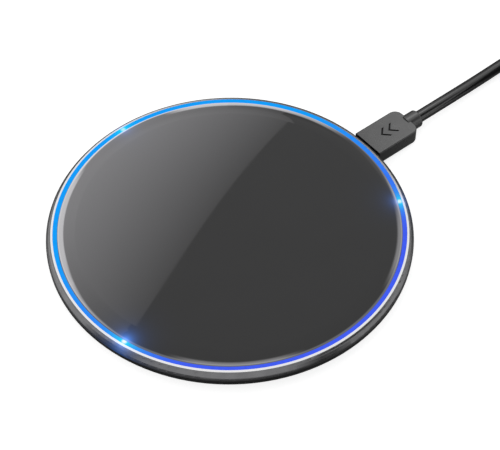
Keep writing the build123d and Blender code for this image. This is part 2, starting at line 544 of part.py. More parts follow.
def coil_tie():
    """Soft strap round the section of the wound turns."""
    half = HANK_COLUMNS * CABLE_DIAMETER / 2
    x0, x1, top = HANK_MID_RADIUS - half, HANK_MID_RADIUS + half, 3 * CABLE_DIAMETER
    outer = block(x0 - TIE_THICK, x1 + TIE_THICK, -TIE_WIDTH / 2, TIE_WIDTH / 2, 0, top + TIE_THICK)
    outer = fillet(outer.edges().filter_by(Axis.Y), TIE_ROUNDING)
    inner = block(x0, x1, -TIE_WIDTH / 2, TIE_WIDTH / 2, TIE_THICK, top)
    inner = fillet(inner.edges().filter_by(Axis.Y), TIE_ROUNDING - TIE_THICK)
    return Pos(*HANK_CENTRE, 0) * Rot(0, 0, TIE_ANGLE) * (outer - inner)


nodes["cable_lead"] = tube(LEAD_ROUTE, CABLE_DIAMETER, "cable_lead")
nodes["cable_coil"] = hank()
nodes["cable_tail"] = tube(TAIL_ROUTE, CABLE_DIAMETER, "cable_tail")
nodes["coil_tie"] = coil_tie()


# ---- far plug, lying flat and pointing along -Y --------------------------------------
FAR_REAR_Y = FAR_COLLAR_Y - FAR_COLLAR_LENGTH
FAR_FRONT_Y = FAR_REAR_Y - FAR_BODY_LENGTH
FAR_TIP_Y = FAR_FRONT_Y - FAR_SHELL_LENGTH
FAR_SEAT_Y = FAR_FRONT_Y + FAR_SEAT


def far_block(half_x, y0, y1, low, high):
    """Box centred on the far plug's axis; heights are from that axis."""
    return block(FAR_X - half_x, FAR_X + half_x, y0, y1, FAR_Z + low, FAR_Z + high)


def usb_a_overmold():
    """Grip of the far plug."""
    grip = Pos(FAR_X, 0, FAR_Z) * moulded_grip(
        FAR_BODY_WIDTH, FAR_BODY_THICK, FAR_FRONT_Y, FAR_REAR_Y, FAR_COLLAR_Y,
        FAR_COLLAR_DIAMETER, FAR_GRIP_CORNER, FAR_GRIP_EDGE)
    half_z = FAR_SHELL_THICK / 2
    return grip - far_block(FAR_SHELL_WIDTH / 2, FAR_FRONT_Y, FAR_SEAT_Y, -half_z, half_z)


def usb_a_shell():
    """Steel shell with two square windows in each broad face."""
    half_x, half_z, wall = FAR_SHELL_WIDTH / 2, FAR_SHELL_THICK / 2, FAR_SHELL_WALL
    outer = far_block(half_x, FAR_TIP_Y, FAR_SEAT_Y, -half_z, half_z)
    inner = far_block(half_x - wall, FAR_TIP_Y, FAR_SEAT_Y, -half_z + wall, half_z - wall)
    window = far_block(FAR_WINDOW_SIDE / 2, FAR_TIP_Y + FAR_WINDOW_START,
                       FAR_TIP_Y + FAR_WINDOW_START + FAR_WINDOW_SIDE, -half_z, half_z)
    return cut(outer, [inner] + [Pos(x, 0, 0) * window for x in FAR_WINDOW_X])


def usb_a_insulator():
    """Contact carrier: tongue in one half of the shell and a full-height heel."""
    half_x, half_z = FAR_SHELL_WIDTH / 2 - FAR_SHELL_WALL, FAR_SHELL_THICK / 2 - FAR_SHELL_WALL
    tongue = far_block(half_x, FAR_TIP_Y + FAR_TONGUE_RECESS, FAR_FRONT_Y, -half_z, FAR_TONGUE_TOP)
    heel = far_block(half_x, FAR_FRONT_Y, FAR_SEAT_Y, -half_z, half_z)
    return tongue + heel


nodes["usb_a_overmold"] = usb_a_overmold()
nodes["usb_a_shell"] = usb_a_shell()
nodes["usb_a_insulator"] = usb_a_insulator()
far_contact = far_block(FAR_CONTACT_WIDTH / 2, FAR_TIP_Y + 2 * FAR_TONGUE_RECESS, FAR_FRONT_Y,
                        FAR_TONGUE_TOP, FAR_TONGUE_TOP + FAR_CONTACT_THICK)
nodes["usb_a_contacts"] = group(Pos(x, 0, 0) * far_contact for x in FAR_CONTACT_X)


for name, shape in nodes.items():
    export_step(shape, f"parts/{name}.step")
print(len(nodes), "nodes written")
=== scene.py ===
"""Looks of a round wireless charging pad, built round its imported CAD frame. Metres, +Z up."""
import math

import bpy
from mathutils import Matrix, Vector


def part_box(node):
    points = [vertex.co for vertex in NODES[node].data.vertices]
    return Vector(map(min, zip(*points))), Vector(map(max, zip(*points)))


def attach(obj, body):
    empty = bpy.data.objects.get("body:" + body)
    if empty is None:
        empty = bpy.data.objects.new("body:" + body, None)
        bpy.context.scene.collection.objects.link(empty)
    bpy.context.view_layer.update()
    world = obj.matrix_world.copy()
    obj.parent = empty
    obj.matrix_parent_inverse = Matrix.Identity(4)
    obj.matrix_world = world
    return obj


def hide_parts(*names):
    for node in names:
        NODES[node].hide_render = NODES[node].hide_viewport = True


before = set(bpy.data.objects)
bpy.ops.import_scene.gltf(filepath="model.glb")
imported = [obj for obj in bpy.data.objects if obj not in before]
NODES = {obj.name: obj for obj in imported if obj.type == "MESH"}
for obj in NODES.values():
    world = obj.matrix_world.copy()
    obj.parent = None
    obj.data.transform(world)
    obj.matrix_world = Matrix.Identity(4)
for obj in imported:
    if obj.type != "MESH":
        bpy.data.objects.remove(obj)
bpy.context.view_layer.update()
MM = 0.001

# ---- places taken from the frame ----------------------------------------------------------
RIM_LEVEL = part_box("light_guide_ring")[1].z
PAD_CENTRE = Vector((0, 0, RIM_LEVEL))
HANK_LOW, HANK_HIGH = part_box("cable_coil")
HANK_CENTRE = (HANK_LOW + HANK_HIGH) / 2
TIE_LOW, TIE_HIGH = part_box("coil_tie")


def link(made):
    """Put a new object into the scene."""
    bpy.context.scene.collection.objects.link(made)
    return made


# ---- camera -------------------------------------------------------------------------------
CAMERA_AZIMUTH = math.radians(52.0)
CAMERA_ELEVATION = math.radians(49.57)
CAMERA_DISTANCE = 0.450
CAMERA_LENS, CAMERA_SENSOR = 119.4, 36.0
CAMERA_CLIP = (0.01, 20.0)
PAD_LEFT_OF_CENTRE = 0.00545       # the pad sits this far left of the picture's middle
PAD_BELOW_CENTRE = 0.00003

TOWARDS = Vector((math.sin(CAMERA_AZIMUTH), -math.cos(CAMERA_AZIMUTH), 0))
BACK = TOWARDS * math.cos(CAMERA_ELEVATION) + Vector((0, 0, math.sin(CAMERA_ELEVATION)))
RIGHT = Vector((math.cos(CAMERA_AZIMUTH), math.sin(CAMERA_AZIMUTH), 0))
UP = BACK.cross(RIGHT)


def make_camera():
    data = bpy.data.cameras.new("camera")
    data.lens, data.sensor_width = CAMERA_LENS, CAMERA_SENSOR
    data.clip_start, data.clip_end = CAMERA_CLIP
    camera = link(bpy.data.objects.new("camera", data))
    aim = PAD_CENTRE + RIGHT * PAD_LEFT_OF_CENTRE + UP * PAD_BELOW_CENTRE
    camera.location = PAD_CENTRE + BACK * CAMERA_DISTANCE
    camera.rotation_euler = (aim - camera.location).to_track_quat("-Z", "Y").to_euler()
    bpy.context.scene.camera = camera


make_camera()


# ---- cable --------------------------------------------------------------------------------
CABLE_DIAMETER = 3.6 * MM
LEAD = [(0, 69.4, 3.3), (0, 79.4, 3.3), (-0.7, 94, 2.3), (-1.35, 106, 1.8), (-1.35, 117, 1.8)]
TAIL = [(22.0, 143.35, 9.0), (33, 143.3, 8.4), (46, 139.5, 6.4), (55, 130.5, 4.6), (58.5, 119, 3.75),
        (58.5, 109, 3.75)]
LEAD_ROUTE = [Vector(point) * MM for point in LEAD]
TAIL_ROUTE = [Vector(point) * MM for point in TAIL]
POINTS_PER_TURN = 18
TURNS = 7.25
# each move: start and end in turns, then the shift outwards and upwards in cable diameters
MOVES = [(0.8, 1.0, -1, 0), (1.8, 2.0, -1, 0), (2.65, 2.85, 0, 1), (3.8, 4.0, 1, 0), (4.8, 5.0, 1, 0),
         (5.55, 5.75, 0, 1), (5.75, 5.95, -1, 0), (7.0, 7.2, 1, 0)]
TIE_ANGLE = math.atan2((TIE_LOW.y + TIE_HIGH.y) / 2 - HANK_CENTRE.y,
                       (TIE_LOW.x + TIE_HIGH.x) / 2 - HANK_CENTRE.x)
TIE_REACH = 0.45                   # radians over which the turns rise onto the strap
STRAP_THICK = 0.55 * MM
STRAP_WIDTH = 7.0 * MM
OUTER_RADIUS = (HANK_HIGH.x - HANK_LOW.x) / 2 - CABLE_DIAMETER / 2


def eased(value):
    """0 before 0, 1 after 1, smooth between."""
    value = min(max(value, 0.0), 1.0)
    return value * value * (3 - 2 * value)


def tie_nearness(angle):
    """1 under the strap, falling off on either side of it."""
    away = (angle - TIE_ANGLE + math.pi) % (2 * math.pi) - math.pi
    return math.exp(-(away / TIE_REACH) ** 2)


def round_hank(radius, angle, level):
    """Point at this radius and angle round the middle of the wound turns."""
    return (HANK_CENTRE.x + radius * math.cos(angle), HANK_CENTRE.y + radius * math.sin(angle), level)


def hank_turns():
    """Control points of the wound turns, clockwise from where the lead arrives."""
    swell = 2 / (1 + math.cos(math.pi / POINTS_PER_TURN))    # the spline passes inside its points
    points = []
    for step in range(1, int(TURNS * POINTS_PER_TURN)):
        turn = step / POINTS_PER_TURN
        outwards = sum(out * eased((turn - start) / (end - start)) for start, end, out, up in MOVES)
        layer = sum(up * eased((turn - start) / (end - start)) for start, end, out, up in MOVES)
        angle = math.pi - 2 * math.pi * turn
        radius = (OUTER_RADIUS + outwards * CABLE_DIAMETER) * swell
        height = (layer + 0.5) * CABLE_DIAMETER + STRAP_THICK * tie_nearness(angle)
        points.append(Vector(round_hank(radius, angle, height)))
    return points


def make_cable():
    """The whole cable as one smooth spline: lead, wound turns and tail."""
    data = bpy.data.curves.new("cable", "CURVE")
    data.dimensions = "3D"
    data.bevel_depth = 1.0             # each point's own radius then gives the cable's, and a true box
    data.bevel_resolution = 7
    data.resolution_u = 6
    data.use_fill_caps = True
    spline = data.splines.new("NURBS")
    points = LEAD_ROUTE + hank_turns() + TAIL_ROUTE
    spline.points.add(len(points) - 1)
    for target, point in zip(spline.points, points):
        target.co = (*point, 1)
        target.radius = CABLE_DIAMETER / 2
    spline.order_u = 3
    spline.use_endpoint_u = True
    made = link(bpy.data.objects.new("cable", data))
    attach(made, "cable")
    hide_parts("cable_lead", "cable_coil", "cable_tail")
    return made


cable = make_cable()


# ---- strap round the turns ----------------------------------------------------------------
LAP_START = math.radians(-60)      # the strap's start faces outwards and down, its end covers it
LAP_LENGTH = math.radians(105)
LAP_RISE = math.radians(40)        # over this turn the end climbs onto the start
LAP_OFFSET = 1.08                  # how far it climbs, in thicknesses of the strap
END_LIFT, LIFT_STEPS = 0.25 * MM, 3
END_ROUNDING = 2.0 * MM
END_NARROWING = 0.6
STRAP_STEP = math.radians(7.5)
EDGE_ANGLES = (-90, -54, -18, 18, 54, 90)
FLAT_ROWS = 6


def mesh_object(name, vertices, faces, smooth=True):
    mesh = bpy.data.meshes.new(name)
    mesh.from_pydata(vertices, [], faces)
    mesh.update()
    for polygon in mesh.polygons:
        polygon.use_smooth = smooth
    return link(bpy.data.objects.new(name, mesh))


def strap_section(half_width):
    """Flat strip with round edges: pairs of place across the strap and height off its middle."""
    edge = STRAP_THICK / 2
    flat = half_width - edge
    turns = [math.radians(a) for a in EDGE_ANGLES]
    right = [(flat + edge * math.cos(a), edge * math.sin(a)) for a in turns]
    left = [(-across, -height) for across, height in right]
    top = [(flat - 2 * flat * i / FLAT_ROWS, edge) for i in range(1, FLAT_ROWS)]
    bottom = [(-across, -height) for across, height in top]
    return right + top + left + bottom


def make_strap():
    """Hook-and-loop strap drawn round the bundle of turns, its free end lapped over its start."""
    middle = OUTER_RADIUS - CABLE_DIAMETER
    half = CABLE_DIAMETER / 2
    corners = [(half * 2, half), (half * 2, half * 3), (0, half * 5), (-half * 2, half * 3),
               (-half * 2, half)]
    steps = int((2 * math.pi + LAP_LENGTH) / STRAP_STEP)
    vertices, faces = [], []
    for index in range(steps + 1):
        facing = LAP_START + index * STRAP_STEP
        pull = (math.cos(facing), math.sin(facing))
        corner = max(corners, key=lambda c: c[0] * pull[0] + c[1] * pull[1])
        lapped = eased((index * STRAP_STEP - 2 * math.pi + LAP_RISE) / LAP_RISE)
        lift = eased((index - steps + LIFT_STEPS) / LIFT_STEPS) * END_LIFT
        reach = half + STRAP_THICK * (0.5 + LAP_OFFSET * lapped) + lift
        from_end = min(index, steps - index) * STRAP_STEP * reach
        cut = max(END_ROUNDING - from_end, 0.0)
        rounding = END_ROUNDING - math.sqrt(END_ROUNDING ** 2 - cut ** 2)
        section = strap_section(STRAP_WIDTH / 2 - rounding * END_NARROWING)
        ring = len(section)
        for across, height in section:
            radius = middle + corner[0] + (reach + height) * pull[0]
            level = corner[1] + STRAP_THICK + (reach + height) * pull[1]
            vertices.append(round_hank(radius, TIE_ANGLE + across / radius, max(level, 0.0)))
    for index in range(steps):
        for i in range(ring):
            a, b = index * ring + i, index * ring + (i + 1) % ring
            faces.append((a, b, b + ring, a + ring))
    faces.append(tuple(range(ring))[::-1])
    faces.append(tuple(range(steps * ring, (steps + 1) * ring)))
    made = mesh_object("tie_strap", vertices, faces)
    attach(made, "cable")
    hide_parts("coil_tie")
    return made


strap = make_strap()


# ---- shader helpers -----------------------------------------------------------------------
def add(tree, kind, **settings):
    """New shader node; settings name its inputs or its own properties."""
    made = tree.nodes.new(kind)
    for key, value in settings.items():
        socket = key.replace("_", " ")
        if socket in made.inputs:
            made.inputs[socket].default_value = value
        else:
            setattr(made, key, value)
    return made


def compute(tree, operation, *values):
    """Math node on sockets or numbers."""
    made = add(tree, "ShaderNodeMath", operation=operation)
    for index, value in enumerate(values):
        if isinstance(value, bpy.types.NodeSocket):
            tree.links.new(value, made.inputs[index])
        else:
            made.inputs[index].default_value = value
    return made.outputs[0]


def chain(tree, operation, terms):
    """Several sockets joined by one operation, such as their sum or product."""
    result = terms[0]
    for term in terms[1:]:
        result = compute(tree, operation, result, term)
    return result


def length_of(tree, x, y):
    """Length of a flat vector."""
    squares = compute(tree, "ADD", compute(tree, "MULTIPLY", x, x), compute(tree, "MULTIPLY", y, y))
    return compute(tree, "SQRT", squares)


def measure(tree, operation, vector, other=None):
    """Vector Math node that gives a number: a length, or a distance from or product with other."""
    made = add(tree, "ShaderNodeVectorMath", operation=operation)
    tree.links.new(vector, made.inputs[0])
    if other is not None:
        made.inputs[1].default_value = other
    return made.outputs["Value"]


def separate(tree, vector):
    made = add(tree, "ShaderNodeSeparateXYZ")
    tree.links.new(vector, made.inputs["Vector"])
    return made.outputs["X"], made.outputs["Y"], made.outputs["Z"]


def flat_radius(tree, coordinates):
    """Distance from the pad's axis."""
    flat = add(tree, "ShaderNodeVectorMath", operation="MULTIPLY")
    flat.inputs[1].default_value = (1, 1, 0)
    tree.links.new(coordinates, flat.inputs[0])
    return measure(tree, "LENGTH", flat.outputs["Vector"])


def fading(tree, distance, spread):
    """1 at no distance, falling off exponentially."""
    return compute(tree, "EXPONENT", compute(tree, "MULTIPLY", distance, -1 / spread))


def ramped(tree, value, start, end, low=0.0, high=1.0, shape="SMOOTHSTEP"):
    """low before start, high after end, smooth between."""
    made = add(tree, "ShaderNodeMapRange", interpolation_type=shape, From_Min=start, From_Max=end,
               To_Min=low, To_Max=high)
    tree.links.new(value, made.inputs["Value"])
    return made.outputs["Result"]


NOISE_RANGE = (0.3, 0.7)           # the part of a noise factor that most of it lies in


def uneven(tree, factor, low, high):
    """Number that follows a noise factor from low to high."""
    return ramped(tree, factor, *NOISE_RANGE, low, high, "LINEAR")


def noise(tree, coordinates, scale, detail=3.0, stretch=None):
    """Noise factor; stretch scales the coordinates along each axis first."""
    if stretch:
        mapping = add(tree, "ShaderNodeMapping", Scale=stretch)
        tree.links.new(coordinates, mapping.inputs["Vector"])
        coordinates = mapping.outputs["Vector"]
    texture = add(tree, "ShaderNodeTexNoise", Scale=scale, Detail=detail)
    tree.links.new(coordinates, texture.inputs["Vector"])
    return texture.outputs["Fac"]


def blend_colours(tree, factor, first, second, between=NOISE_RANGE):
    """first below the range of the factor, second above it."""
    ramp = add(tree, "ShaderNodeValToRGB")
    for element, position, colour in zip(ramp.color_ramp.elements, between, (first, second)):
        element.position, element.color = position, (*colour, 1)
    tree.links.new(factor, ramp.inputs["Fac"])
    return ramp.outputs["Color"]


def mixed(tree, factor, first, second):
    """Colour between two, each a socket or a plain colour."""
    made = add(tree, "ShaderNodeMix", data_type="RGBA")
    tree.links.new(factor, made.inputs[0])
    for socket, value in ((made.inputs[6], first), (made.inputs[7], second)):
        if isinstance(value, bpy.types.NodeSocket):
            tree.links.new(value, socket)
        else:
            socket.default_value = (*value, 1)
    return made.outputs[2]


def bump(tree, shader, height, distance):
    made = add(tree, "ShaderNodeBump", Distance=distance)
    tree.links.new(height, made.inputs["Height"])
    tree.links.new(made.outputs["Normal"], shader.inputs["Normal"])


def new_material(name, colour, roughness, **sockets):
    """Principled material; returns it with its tree, shader and object coordinates."""
    material = bpy.data.materials.new(name)
    material.use_nodes = True
    tree = material.node_tree
    shader = tree.nodes["Principled BSDF"]
    shader.inputs["Base Color"].default_value = (*colour, 1)
    shader.inputs["Roughness"].default_value = roughness
    for key, value in sockets.items():
        shader.inputs[key.replace("_", " ")].default_value = value
    coordinates = add(tree, "ShaderNodeTexCoord").outputs["Object"]
    return material, tree, shader, coordinates


MOTTLE_SCALE, GLOSS_SCALE = 0.06, 0.02     # beside the grain, whose own scale is 1
GLOSS_SPREAD = 0.12


def add_grain(tree, shader, coordinates, roughness, grain, depth, stretch=None):
    """Uneven gloss and a fine surface grain."""
    smear = noise(tree, coordinates, GLOSS_SCALE / grain, 3.0, stretch)
    gloss = uneven(tree, smear, roughness * (1 - GLOSS_SPREAD), min(roughness * (1 + GLOSS_SPREAD), 1))
    tree.links.new(gloss, shader.inputs["Roughness"])
    bump(tree, shader, noise(tree, coordinates, 1 / grain, 2.0, stretch), depth)


def grained(name, colour, roughness, grain, depth, stretch=None, spread=0.25, **sockets):
    """Base material of most pieces: mottled colour, uneven gloss and a fine surface grain.
    grain is the grain's size in metres and depth its height."""
    material, tree, shader, coordinates = new_material(name, colour, roughness, **sockets)
    mottle = noise(tree, coordinates, MOTTLE_SCALE / grain, 4.0, stretch)
    darker = tuple(c * (1 - spread) for c in colour)
    lighter = tuple(min(c * (1 + spread), 1) for c in colour)
    tree.links.new(blend_colours(tree, mottle, darker, lighter), shader.inputs["Base Color"])
    add_grain(tree, shader, coordinates, roughness, grain, depth, stretch)
    return material


# ---- glow of the ring and its LEDs --------------------------------------------------------
LEDS = [(math.radians(61.5), 0.75), (math.radians(181.5), 0.5), (math.radians(286.5), 1.6)]
LED_RADIUS = 47.3 * MM
HALO_COLOUR = (0.07, 0.28, 1.0)
SKIRT_SHARE = 0.15


def led_distances(tree, coordinates):
    """Distance from each LED, with its strength."""
    for angle, strength in LEDS:
        place = (LED_RADIUS * math.cos(angle), LED_RADIUS * math.sin(angle), RIM_LEVEL)
        yield measure(tree, "DISTANCE", coordinates, place), strength


def led_halo(tree, coordinates, skirt_width, core_width):
    """Brightness of the glow round the three LEDs: a small core and a wide faint skirt."""
    terms = []
    for away, strength in led_distances(tree, coordinates):
        skirt, core = fading(tree, away, skirt_width), fading(tree, away, core_width)
        glow = compute(tree, "MULTIPLY_ADD", skirt, SKIRT_SHARE, core)
        terms.append(compute(tree, "MULTIPLY", glow, strength))
    return chain(tree, "ADD", terms)


# ---- materials ----------------------------------------------------------------------------
GLASS_DARK, GLASS_HAZE = (0.0022, 0.0022, 0.0024), (0.0034, 0.0034, 0.0037)
GLASS_HALO, GLASS_HALO_WIDTHS = 1.2, (2.6 * MM, 1.0 * MM)
SPILL_START, SPILL_END = 46.15 * MM, 46.6 * MM    # the outer edge of the glass catches the ring's light
SPILL, SPILL_COLOUR = 0.11, (0.86, 0.9, 1.0)
ALMOST_NOTHING = 1e-5              # keeps a share of no light from being a division by 0


def black_glass():
    """Black-backed tempered glass: deep, almost even, with the faintest haze and waviness. It stands in
    for the light of the ring and of the LEDs in it by glowing a little itself."""
    material, tree, shader, coordinates = new_material("black_glass", GLASS_DARK, 0.02, IOR=1.52)
    haze = noise(tree, coordinates, scale=60.0, detail=5.0)
    tree.links.new(blend_colours(tree, haze, GLASS_DARK, GLASS_HAZE), shader.inputs["Base Color"])
    smear = noise(tree, coordinates, scale=140.0, detail=4.0)
    tree.links.new(uneven(tree, smear, 0.012, 0.03), shader.inputs["Roughness"])
    bump(tree, shader, noise(tree, coordinates, scale=35.0, detail=2.0), 0.5e-6)
    halo = compute(tree, "MULTIPLY", led_halo(tree, coordinates, *GLASS_HALO_WIDTHS), GLASS_HALO)
    spill = ramped(tree, flat_radius(tree, coordinates), SPILL_START, SPILL_END, 0.0, SPILL)
    glow = compute(tree, "ADD", halo, spill)
    share = compute(tree, "DIVIDE", spill, compute(tree, "ADD", glow, ALMOST_NOTHING))
    tree.links.new(mixed(tree, share, HALO_COLOUR, SPILL_COLOUR), shader.inputs["Emission Color"])
    tree.links.new(glow, shader.inputs["Emission Strength"])
    return material


AZURE, ROYAL = (0.0048, 0.337, 0.956), (0.053, 0.107, 0.871)
AZURE_SIDE = math.radians(180)     # azure is strongest towards this side of the ring
AZURE_RANGE = (0.19, 0.70)
CYAN, LED_WHITE = (0.02, 0.85, 1.0), (0.95, 1.0, 1.0)
CYAN_REACH = 1.2                   # millimetres round a faint LED; a strong one reaches further
WHITE_START, WHITE_FULL = 1.0 * MM, 0.2 * MM


def lit_ring():
    """Light ring: azure fading to royal blue round the circle, nearly white beside each LED."""
    material, tree, shader, coordinates = new_material("lit_ring", (0.003, 0.006, 0.012), 0.25,
                                                       Specular_IOR_Level=0.0)
    x, y = separate(tree, coordinates)[:2]
    angle = compute(tree, "ARCTAN2", y, x)
    side = compute(tree, "COSINE", compute(tree, "SUBTRACT", angle, AZURE_SIDE))
    hue = blend_colours(tree, compute(tree, "MULTIPLY_ADD", side, 0.5, 0.5), ROYAL, AZURE, AZURE_RANGE)
    wide, tight = [], []
    for away, strength in led_distances(tree, coordinates):
        wide.append(fading(tree, away, (CYAN_REACH + strength) * MM))
        tight.append(ramped(tree, away, WHITE_START, WHITE_FULL, 0.0, min(strength, 1.0)))
    cyan = mixed(tree, compute(tree, "MINIMUM", chain(tree, "ADD", wide), 1.0), hue, CYAN)
    white = mixed(tree, chain(tree, "ADD", tight), cyan, LED_WHITE)
    tree.links.new(white, shader.inputs["Emission Color"])
    mottle = noise(tree, coordinates, scale=900.0, detail=2.0)
    tree.links.new(uneven(tree, mottle, 0.94, 1.04), shader.inputs["Emission Strength"])
    return material


BRIGHT_RADIUS = 48.63 * MM
BRIGHT_DEPTH = 0.16 * MM
BRIGHT_CUT = (0.9, 0.9, 0.91)
BRIGHT_SMOOTHER = -0.06
ANODISED_DARK, ANODISED_LIGHT = (0.17, 0.17, 0.174), (0.2, 0.2, 0.205)
LATHE_SCALE, LATHE_DEPTH = 16000.0, 1.0e-6
FRAME_HALO, FRAME_HALO_WIDTHS = 0.9, (3.2 * MM, 1.2 * MM)


def anodised_frame():
    """Black anodised ring with a bright-cut top edge; lathe marks run round both. It glows faintly
    beside the LEDs, for the light that they spill on it."""
    material, tree, shader, coordinates = new_material("anodised_frame", (0.19, 0.19, 0.195), 0.3,
                                                       Metallic=1.0)
    radius = flat_radius(tree, coordinates)
    z = separate(tree, coordinates)[2]
    on_top = compute(tree, "GREATER_THAN", z, RIM_LEVEL - BRIGHT_DEPTH)
    bright = compute(tree, "MULTIPLY", compute(tree, "LESS_THAN", radius, BRIGHT_RADIUS), on_top)
    marks = add(tree, "ShaderNodeCombineXYZ")
    tree.links.new(radius, marks.inputs["X"])
    tree.links.new(z, marks.inputs["Y"])
    groove = noise(tree, marks.outputs["Vector"], LATHE_SCALE, 2.0)
    dark = blend_colours(tree, noise(tree, coordinates, scale=300.0), ANODISED_DARK, ANODISED_LIGHT)
    tree.links.new(mixed(tree, bright, dark, BRIGHT_CUT), shader.inputs["Base Color"])
    gloss = uneven(tree, noise(tree, coordinates, scale=500.0), 0.25, 0.32)
    tree.links.new(compute(tree, "MULTIPLY_ADD", bright, BRIGHT_SMOOTHER, gloss),
                   shader.inputs["Roughness"])
    bump(tree, shader, groove, LATHE_DEPTH)
    shader.inputs["Emission Color"].default_value = (*HALO_COLOUR, 1)
    halo = led_halo(tree, coordinates, *FRAME_HALO_WIDTHS)
    tree.links.new(compute(tree, "MULTIPLY", halo, FRAME_HALO), shader.inputs["Emission Strength"])
    return material


# field of the chevrons on the pad-side plug
MARK_HALF_WIDTH, MARK_START, MARK_END = 3.2 * MM, 53 * MM, 63 * MM
MARK_FLOOR, MARK_TOP = 5.2 * MM, 5.5 * MM
# painted shade: the sunk chevrons are coloured black and their reflection is dimmed, as if shadowed
# inside their grooves
MARK_PAINTED_SHADE, MARK_SHADE_TINT = (0.001, 0.001, 0.001), (0.04, 0.04, 0.04)
# painted sheen: along this stretch of the plug the grip's colour grows lighter, standing in for brighter
# reflection towards the cable
SHEEN_START, SHEEN_END = 50.2 * MM, 62 * MM
GRIP_SHEEN_LOW, GRIP_SHEEN_HIGH = (0.005, 0.005, 0.0052), (0.034, 0.034, 0.0345)
GRIP_ROUGHNESS = 0.28


def satin_grip():
    """Satin grip of both plugs, with a painted sheen that makes its colour lighter towards the cable; the
    sunk chevrons carry painted shade, black with dimmed reflection.
    """
    material, tree, shader, coordinates = new_material("satin_grip", (0.03, 0.03, 0.0305), GRIP_ROUGHNESS,
                                                       Specular_IOR_Level=1.0)
    add_grain(tree, shader, coordinates, GRIP_ROUGHNESS, 0.10 * MM, 2e-6)
    x, y, z = separate(tree, coordinates)
    sunk = chain(tree, "MULTIPLY", [
        compute(tree, "LESS_THAN", compute(tree, "ABSOLUTE", x), MARK_HALF_WIDTH),
        compute(tree, "GREATER_THAN", y, MARK_START), compute(tree, "LESS_THAN", y, MARK_END),
        compute(tree, "GREATER_THAN", z, MARK_FLOOR), compute(tree, "LESS_THAN", z, MARK_TOP)])
    # painted sheen: lighter colour towards the cable
    sheen_share = ramped(tree, y, SHEEN_START, SHEEN_END, shape="LINEAR")
    painted_sheen = mixed(tree, sheen_share, GRIP_SHEEN_LOW, GRIP_SHEEN_HIGH)
    # painted shade: black colour and dimmed reflection inside the sunk chevrons
    tree.links.new(mixed(tree, sunk, painted_sheen, MARK_PAINTED_SHADE), shader.inputs["Base Color"])
    tree.links.new(mixed(tree, sunk, (1, 1, 1), MARK_SHADE_TINT), shader.inputs["Specular Tint"])
    return material


STRAP_DARK, STRAP_LIGHT = (0.012, 0.012, 0.013), (0.04, 0.04, 0.042)
WEAVE_SCALE, NAP_SCALE = 2600.0, 4000.0
WEAVE_SHARE, WEAVE_DEPTH = 0.5, 0.08 * MM


def woven_strap():
    """Hook-and-loop strap: a fine crossed weave with a soft nap."""
    material, tree, shader, coordinates = new_material("woven_strap", (0.02, 0.02, 0.021), 0.9,
                                                       Sheen_Weight=0.3)
    weave = add(tree, "ShaderNodeTexChecker", Scale=WEAVE_SCALE)
    tree.links.new(coordinates, weave.inputs["Vector"])
    nap = noise(tree, coordinates, NAP_SCALE, 4.0)
    tree.links.new(blend_colours(tree, nap, STRAP_DARK, STRAP_LIGHT), shader.inputs["Base Color"])
    bump(tree, shader, compute(tree, "MULTIPLY_ADD", weave.outputs["Fac"], WEAVE_SHARE, nap), WEAVE_DEPTH)
    return material


def assign(material, *names):
    """Give a material to the CAD nodes of these names."""
    for name in names:
        slots = NODES[name].data.materials
        if slots:
            slots[0] = material
        else:
            slots.append(material)


def dress_cad_nodes():
    assign(black_glass(), "glass_panel")
    assign(lit_ring(), "light_guide_ring")
    assign(anodised_frame(), "outer_frame")
    assign(grained("spark_eroded_cover", (0.010, 0.010, 0.0105), 0.5, 0.18 * MM, 6e-6,
                   Specular_IOR_Level=0.3), "bottom_cover")
    assign(grained("moulded_shell", (0.02, 0.02, 0.021), 0.55, 0.25 * MM, 6e-6),
           "top_shell", "receptacle_tongue", "plug_insert")
    assign(grained("matte_silicone", (0.03, 0.03, 0.031), 0.8, 0.12 * MM, 8e-6),
           "foot_ring", "coil_foam")
    assign(grained("black_film", (0.02, 0.02, 0.02), 0.5, 0.3 * MM, 3e-6),
           "panel_adhesive", "ferrite_adhesive", "coil_adhesive")
    assign(satin_grip(), "plug_overmold", "usb_a_overmold")
    assign(grained("nickel_plate", (0.62, 0.61, 0.59), 0.24, 0.08 * MM, 1.2e-6, stretch=(1, 0.05, 1),
                   spread=0.06, Metallic=1.0),
           "plug_shell", "receptacle_shell", "plug_latches", "usb_a_shell", "cover_screws")
    assign(grained("gold_plate", (0.88, 0.62, 0.22), 0.22, 0.1 * MM, 1e-6, spread=0.08, Metallic=1.0),
           "plug_contacts", "receptacle_contacts", "usb_a_contacts")
    assign(grained("white_insulator", (0.78, 0.78, 0.76), 0.45, 0.2 * MM, 3e-6, spread=0.04),
           "usb_a_insulator")
    assign(grained("solder_mask", (0.008, 0.09, 0.045), 0.3, 0.35 * MM, 4e-6), "main_pcb")
    assign(grained("sintered_ferrite", (0.05, 0.05, 0.053), 0.7, 0.15 * MM, 6e-6),
           "ferrite_sheet", "power_inductor")
    assign(grained("enamelled_copper", (0.68, 0.27, 0.11), 0.3, 0.12 * MM, 5e-6, Metallic=1.0),
           "tx_coil", "coil_leads")
    assign(grained("moulded_epoxy", (0.018, 0.018, 0.018), 0.5, 0.12 * MM, 4e-6),
           "controller_chip", "bridge_mosfets", "chip_resistors")
    assign(grained("fired_ceramic", (0.42, 0.28, 0.16), 0.5, 0.1 * MM, 4e-6),
           "resonance_capacitors", "filter_capacitors", "thermistor")
    assign(grained("led_package", (0.8, 0.8, 0.74), 0.35, 0.2 * MM, 2e-6, spread=0.04), "ring_leds")


dress_cad_nodes()
cable.data.materials.append(grained("satin_jacket", (0.006, 0.006, 0.0063), 0.21, 0.16 * MM, 3e-6,
                                    spread=0.15, Specular_IOR_Level=1.0))
strap.data.materials.append(woven_strap())


# ---- floor --------------------------------------------------------------------------------
FLOOR_HALF = 3.0
FLOOR_GLOW = 0.78


